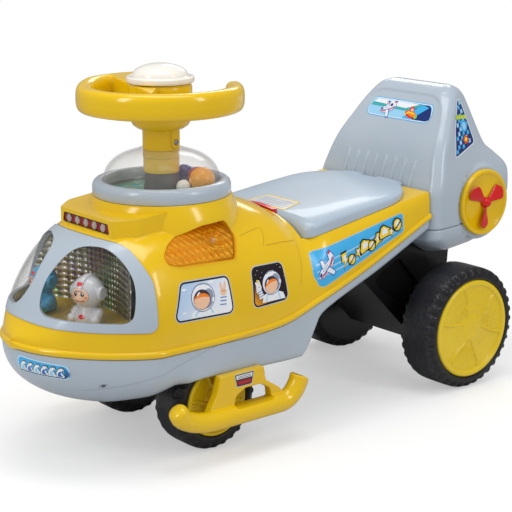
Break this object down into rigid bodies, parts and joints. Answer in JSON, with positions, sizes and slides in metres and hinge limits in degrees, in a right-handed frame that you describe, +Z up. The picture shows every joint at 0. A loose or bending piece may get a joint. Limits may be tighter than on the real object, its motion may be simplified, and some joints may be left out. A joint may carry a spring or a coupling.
{
  "type": "ride-on car",
  "caption": "Child's ride-on car in the style of a small helicopter: round cabin, steered front bogie, long hinged seat over a tub, and a high backrest.",
  "frame": {"origin": "on the floor, under the middle of the car's bounding box", "axes": "+Z up, the nose points to -Y, +X is the side that the picture shows"},
  "size_m": [0.346, 0.8588, 0.525],
  "materials": {
    "yellow_plastic": "glossy moulded plastic",
    "grey_plastic": "glossy blue-grey moulded plastic",
    "black_plastic": "semi-gloss black moulded plastic",
    "black_wheel": "blow-moulded black wheel plastic",
    "red_plastic": "glossy red moulded plastic",
    "blue_plastic": "glossy blue moulded plastic",
    "orange_plastic": "glossy orange moulded plastic",
    "green_plastic": "glossy green moulded plastic",
    "white_plastic": "glossy white moulded plastic",
    "clear_plastic": "clear moulded plastic",
    "amber_lens": "clear amber lens plastic",
    "mirror_foil": "bright vacuum-plated plastic",
    "steel": "plain steel bar"
  },
  "bodies": {
    "car": {"upper_body": "yellow_plastic", "window_frame": "grey_plastic", "window_left": "clear_plastic", "window_right": "clear_plastic", "lower_hull": "grey_plastic", "cabin_deck": "yellow_plastic", "cabin_backdrop": "mirror_foil", "sound_box": "black_plastic", "astronaut_figure": "white_plastic", "pilot_figure": "blue_plastic", "light_bar": "red_plastic", "light_bulb_1": "white_plastic", "light_bulb_2": "white_plastic", "light_bulb_3": "white_plastic", "light_bulb_4": "white_plastic", "light_bulb_5": "white_plastic", "signal_lamp_left": "amber_lens", "signal_lamp_right": "amber_lens", "lamp_reflector_left": "mirror_foil", "lamp_reflector_right": "mirror_foil", "dome_floor": "green_plastic", "dome_ring": "grey_plastic", "clear_dome": "clear_plastic", "ball_orange": "orange_plastic", "ball_red": "red_plastic", "ball_white": "white_plastic", "ball_blue": "blue_plastic", "hinge_pin": "steel", "storage_tub": "yellow_plastic", "backrest_shell": "grey_plastic", "backrest_base": "grey_plastic", "rotor_disc_left": "yellow_plastic", "rotor_disc_right": "yellow_plastic", "foot_rest_left": "yellow_plastic", "foot_rest_right": "yellow_plastic", "rear_undercarriage": "black_plastic", "rear_axle": "steel"},
    "seat_lid": {"seat_lid": "grey_plastic"},
    "seat_latch": {"seat_latch": "red_plastic"},
    "propeller_left": {"propeller_left": "red_plastic"},
    "propeller_right": {"propeller_right": "red_plastic"},
    "front_wheel_left": {"front_left_wheel": "black_wheel", "front_left_hub_cap": "yellow_plastic"},
    "front_wheel_right": {"front_right_wheel": "black_wheel", "front_right_hub_cap": "yellow_plastic"},
    "rear_wheel_left": {"rear_left_wheel": "black_wheel", "rear_left_hub_cap": "yellow_plastic"},
    "rear_wheel_right": {"rear_right_wheel": "black_wheel", "rear_right_hub_cap": "yellow_plastic"},
    "steering": {"steering_shaft": "steel", "column_collar": "black_plastic", "steering_column": "yellow_plastic", "steering_neck": "yellow_plastic", "column_screw": "steel", "steering_wheel": "yellow_plastic", "horn_ring": "white_plastic", "front_bogie": "black_plastic", "front_axle": "steel"},
    "horn_button": {"horn_button": "white_plastic"}
  },
  "joints": [
    {"name": "steering_turn", "type": "hinge", "parent": "car", "child": "steering", "pos_m": [0, -0.1796, 0.43], "axis": [0, 0, 1], "range_deg": [-45, 45]},
    {"name": "front_left_roll", "type": "hinge", "parent": "steering", "child": "front_wheel_left", "pos_m": [-0.094, -0.1796, 0.07], "axis": [1, 0, 0], "continuous": true},
    {"name": "front_right_roll", "type": "hinge", "parent": "steering", "child": "front_wheel_right", "pos_m": [0.094, -0.1796, 0.07], "axis": [1, 0, 0], "continuous": true},
    {"name": "rear_left_roll", "type": "hinge", "parent": "car", "child": "rear_wheel_left", "pos_m": [-0.136, 0.2844, 0.095], "axis": [1, 0, 0], "continuous": true},
    {"name": "rear_right_roll", "type": "hinge", "parent": "car", "child": "rear_wheel_right", "pos_m": [0.136, 0.2844, 0.095], "axis": [1, 0, 0], "continuous": true},
    {"name": "left_propeller_spin", "type": "hinge", "parent": "car", "child": "propeller_left", "pos_m": [-0.1267, 0.3484, 0.279], "axis": [1, 0, 0], "continuous": true},
    {"name": "right_propeller_spin", "type": "hinge", "parent": "car", "child": "propeller_right", "pos_m": [0.1267, 0.3484, 0.279], "axis": [1, 0, 0], "continuous": true},
    {"name": "seat_lid_hinge", "type": "hinge", "parent": "car", "child": "seat_lid", "pos_m": [0, 0.2254, 0.3144], "axis": [-1, 0, 0], "range_deg": [0, 75]},
    {"name": "seat_latch_slide", "type": "slide", "parent": "car", "child": "seat_latch", "axis": [0, 0, -1], "range_m": [0, 0.004], "stiffness_N_per_m": 300, "springref_m": -0.004},
    {"name": "horn_press", "type": "slide", "parent": "steering", "child": "horn_button", "axis": [0, 0, -1], "range_m": [0, 0.003], "stiffness_N_per_m": 500, "springref_m": -0.003}
  ]
}
